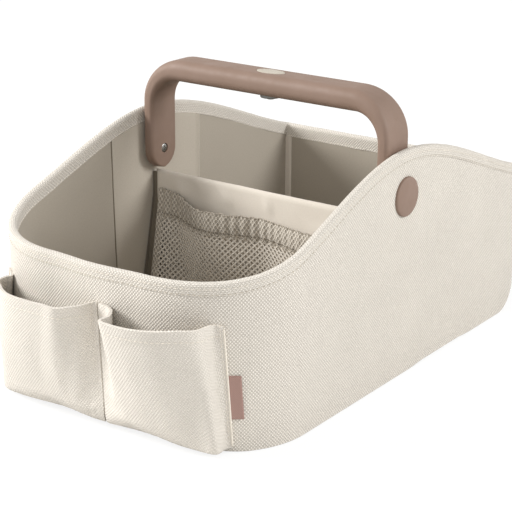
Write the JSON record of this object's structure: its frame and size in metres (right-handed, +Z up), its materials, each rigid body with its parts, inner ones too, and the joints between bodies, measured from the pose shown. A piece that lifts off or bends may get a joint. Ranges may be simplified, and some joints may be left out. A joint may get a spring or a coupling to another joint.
{
  "type": "diaper caddy",
  "caption": "Soft-sided nursery caddy with a raised rim, a padded tub, a divider with a mesh pocket, front pockets and a swinging carry handle with a night light.",
  "frame": {"origin": "middle of the tub's base, on the surface it stands on", "axes": "+X to the right wall, -Y to the front with the pockets, +Z up; the handle stands upright"},
  "size_m": [0.211, 0.3543, 0.1842],
  "materials": {
    "weave": "matt basket weave",
    "binding": "matt woven tape",
    "lining": "matt plain weave",
    "panel": "matt plain weave",
    "divider": "matt plain weave",
    "net": "matt knitted mesh",
    "stiffener": "plain board",
    "tab": "matt woven tape",
    "handle": "satin moulding",
    "button": "satin moulding",
    "nylon": "plain moulding",
    "steel": "plated",
    "cell": "satin sleeve",
    "circuit": "coated laminate",
    "lens": "clear",
    "led": "clear"
  },
  "bodies": {
    "caddy": {"outer_wrap": "weave", "back_panel": "weave", "base_panel": "weave", "rim_binding": "binding", "front_board": "stiffener", "left_board": "stiffener", "right_board": "stiffener", "back_board": "stiffener", "base_board": "stiffener", "divider_board": "stiffener", "lining_walls": "lining", "lining_back": "lining", "lining_floor": "lining", "divider_cover": "divider", "mesh_pocket_net": "net", "mesh_pocket_band": "net", "mesh_pocket_left_tape": "net", "mesh_pocket_right_tape": "net", "mesh_pocket_foot_tape": "net", "label_tab": "tab", "left_pocket": "weave", "left_side_panel": "panel", "left_pivot_bush": "nylon", "left_backing_ring": "nylon", "right_pocket": "weave", "right_side_panel": "panel", "right_pivot_bush": "nylon", "right_backing_ring": "nylon"},
    "handle": {"handle_shell": "handle", "light_cover": "handle", "light_lens": "lens", "light_led": "led", "circuit_board": "circuit", "push_switch": "nylon", "left_pivot_cap": "handle", "left_pivot_screw": "steel", "left_battery_door": "handle", "left_door_screw": "steel", "left_cell": "cell", "left_inner_contact": "steel", "left_outer_contact": "steel", "right_pivot_cap": "handle", "right_pivot_screw": "steel", "right_battery_door": "handle", "right_door_screw": "steel", "right_cell": "cell", "right_inner_contact": "steel", "right_outer_contact": "steel"},
    "button": {"light_button": "button"}
  },
  "joints": [
    {"name": "handle_swing", "type": "hinge", "parent": "caddy", "child": "handle", "pos_m": [0, 0.007, 0.1196], "axis": [1, 0, 0], "range_deg": [-85, 85]},
    {"name": "button_press", "type": "slide", "parent": "handle", "child": "button", "axis": [0, 0, -1], "range_m": [0, 0.0006], "stiffness_N_per_m": 800, "springref_m": -0.0005}
  ]
}
